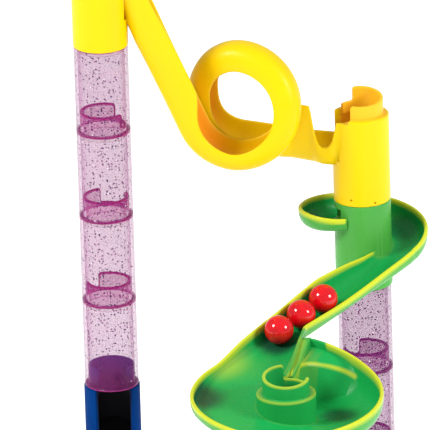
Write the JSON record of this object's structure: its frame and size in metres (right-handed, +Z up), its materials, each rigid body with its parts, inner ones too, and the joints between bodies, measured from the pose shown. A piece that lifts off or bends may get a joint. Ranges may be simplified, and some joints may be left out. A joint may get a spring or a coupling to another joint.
{
  "type": "marble run",
  "caption": "Push-fit marble run with three towers, a yellow loop chute, a green swirl chute into a round bowl, and red marbles rolling along it.",
  "frame": {"origin": "middle of the left foot's underside, on the floor", "axes": "+Z up along the left column, +X towards the right column, -Y the front, where the swirl chute runs"},
  "size_m": [0.2125, 0.313, 0.3735],
  "materials": {
    "yellow_plastic": "glossy moulded plastic",
    "green_plastic": "glossy moulded plastic",
    "blue_plastic": "glossy moulded plastic",
    "pink_glitter": "clear tinted plastic with glitter in it",
    "purple_glitter": "clear tinted plastic with glitter in it",
    "red_marble": "polished opaque glass"
  },
  "bodies": {
    "structure": {"foot_left": "blue_plastic", "foot_right": "blue_plastic", "foot_front": "blue_plastic", "tube_left_1": "pink_glitter", "tube_left_2": "pink_glitter", "tube_left_3": "pink_glitter", "tube_left_4": "pink_glitter", "tube_left_5": "pink_glitter", "window_tower_left": "blue_plastic", "tube_right_1": "purple_glitter", "tube_right_2": "purple_glitter", "tube_right_3": "purple_glitter", "tube_front": "purple_glitter", "exit_tower_front": "blue_plastic", "catch_tray": "yellow_plastic", "loop_chute": "yellow_plastic", "swirl_chute": "green_plastic"},
    "marble_1_body": {"marble_1": "red_marble"},
    "marble_2_body": {"marble_2": "red_marble"},
    "marble_3_body": {"marble_3": "red_marble"}
  },
  "joints": [
    {"name": "marble_1_roll", "type": "slide", "parent": "structure", "child": "marble_1_body", "axis": [-0.7181, -0.6766, -0.1629], "range_m": [-0.055, 0.035]},
    {"name": "marble_2_roll", "type": "slide", "parent": "structure", "child": "marble_2_body", "axis": [-0.7181, -0.6766, -0.1629], "range_m": [-0.055, 0.035]},
    {"name": "marble_3_roll", "type": "slide", "parent": "structure", "child": "marble_3_body", "axis": [-0.7181, -0.6766, -0.1629], "range_m": [-0.055, 0.035]}
  ],
  "couplings": [
    {"joint": "marble_2_roll", "follows": "marble_1_roll", "ratio": 1},
    {"joint": "marble_3_roll", "follows": "marble_1_roll", "ratio": 1}
  ]
}
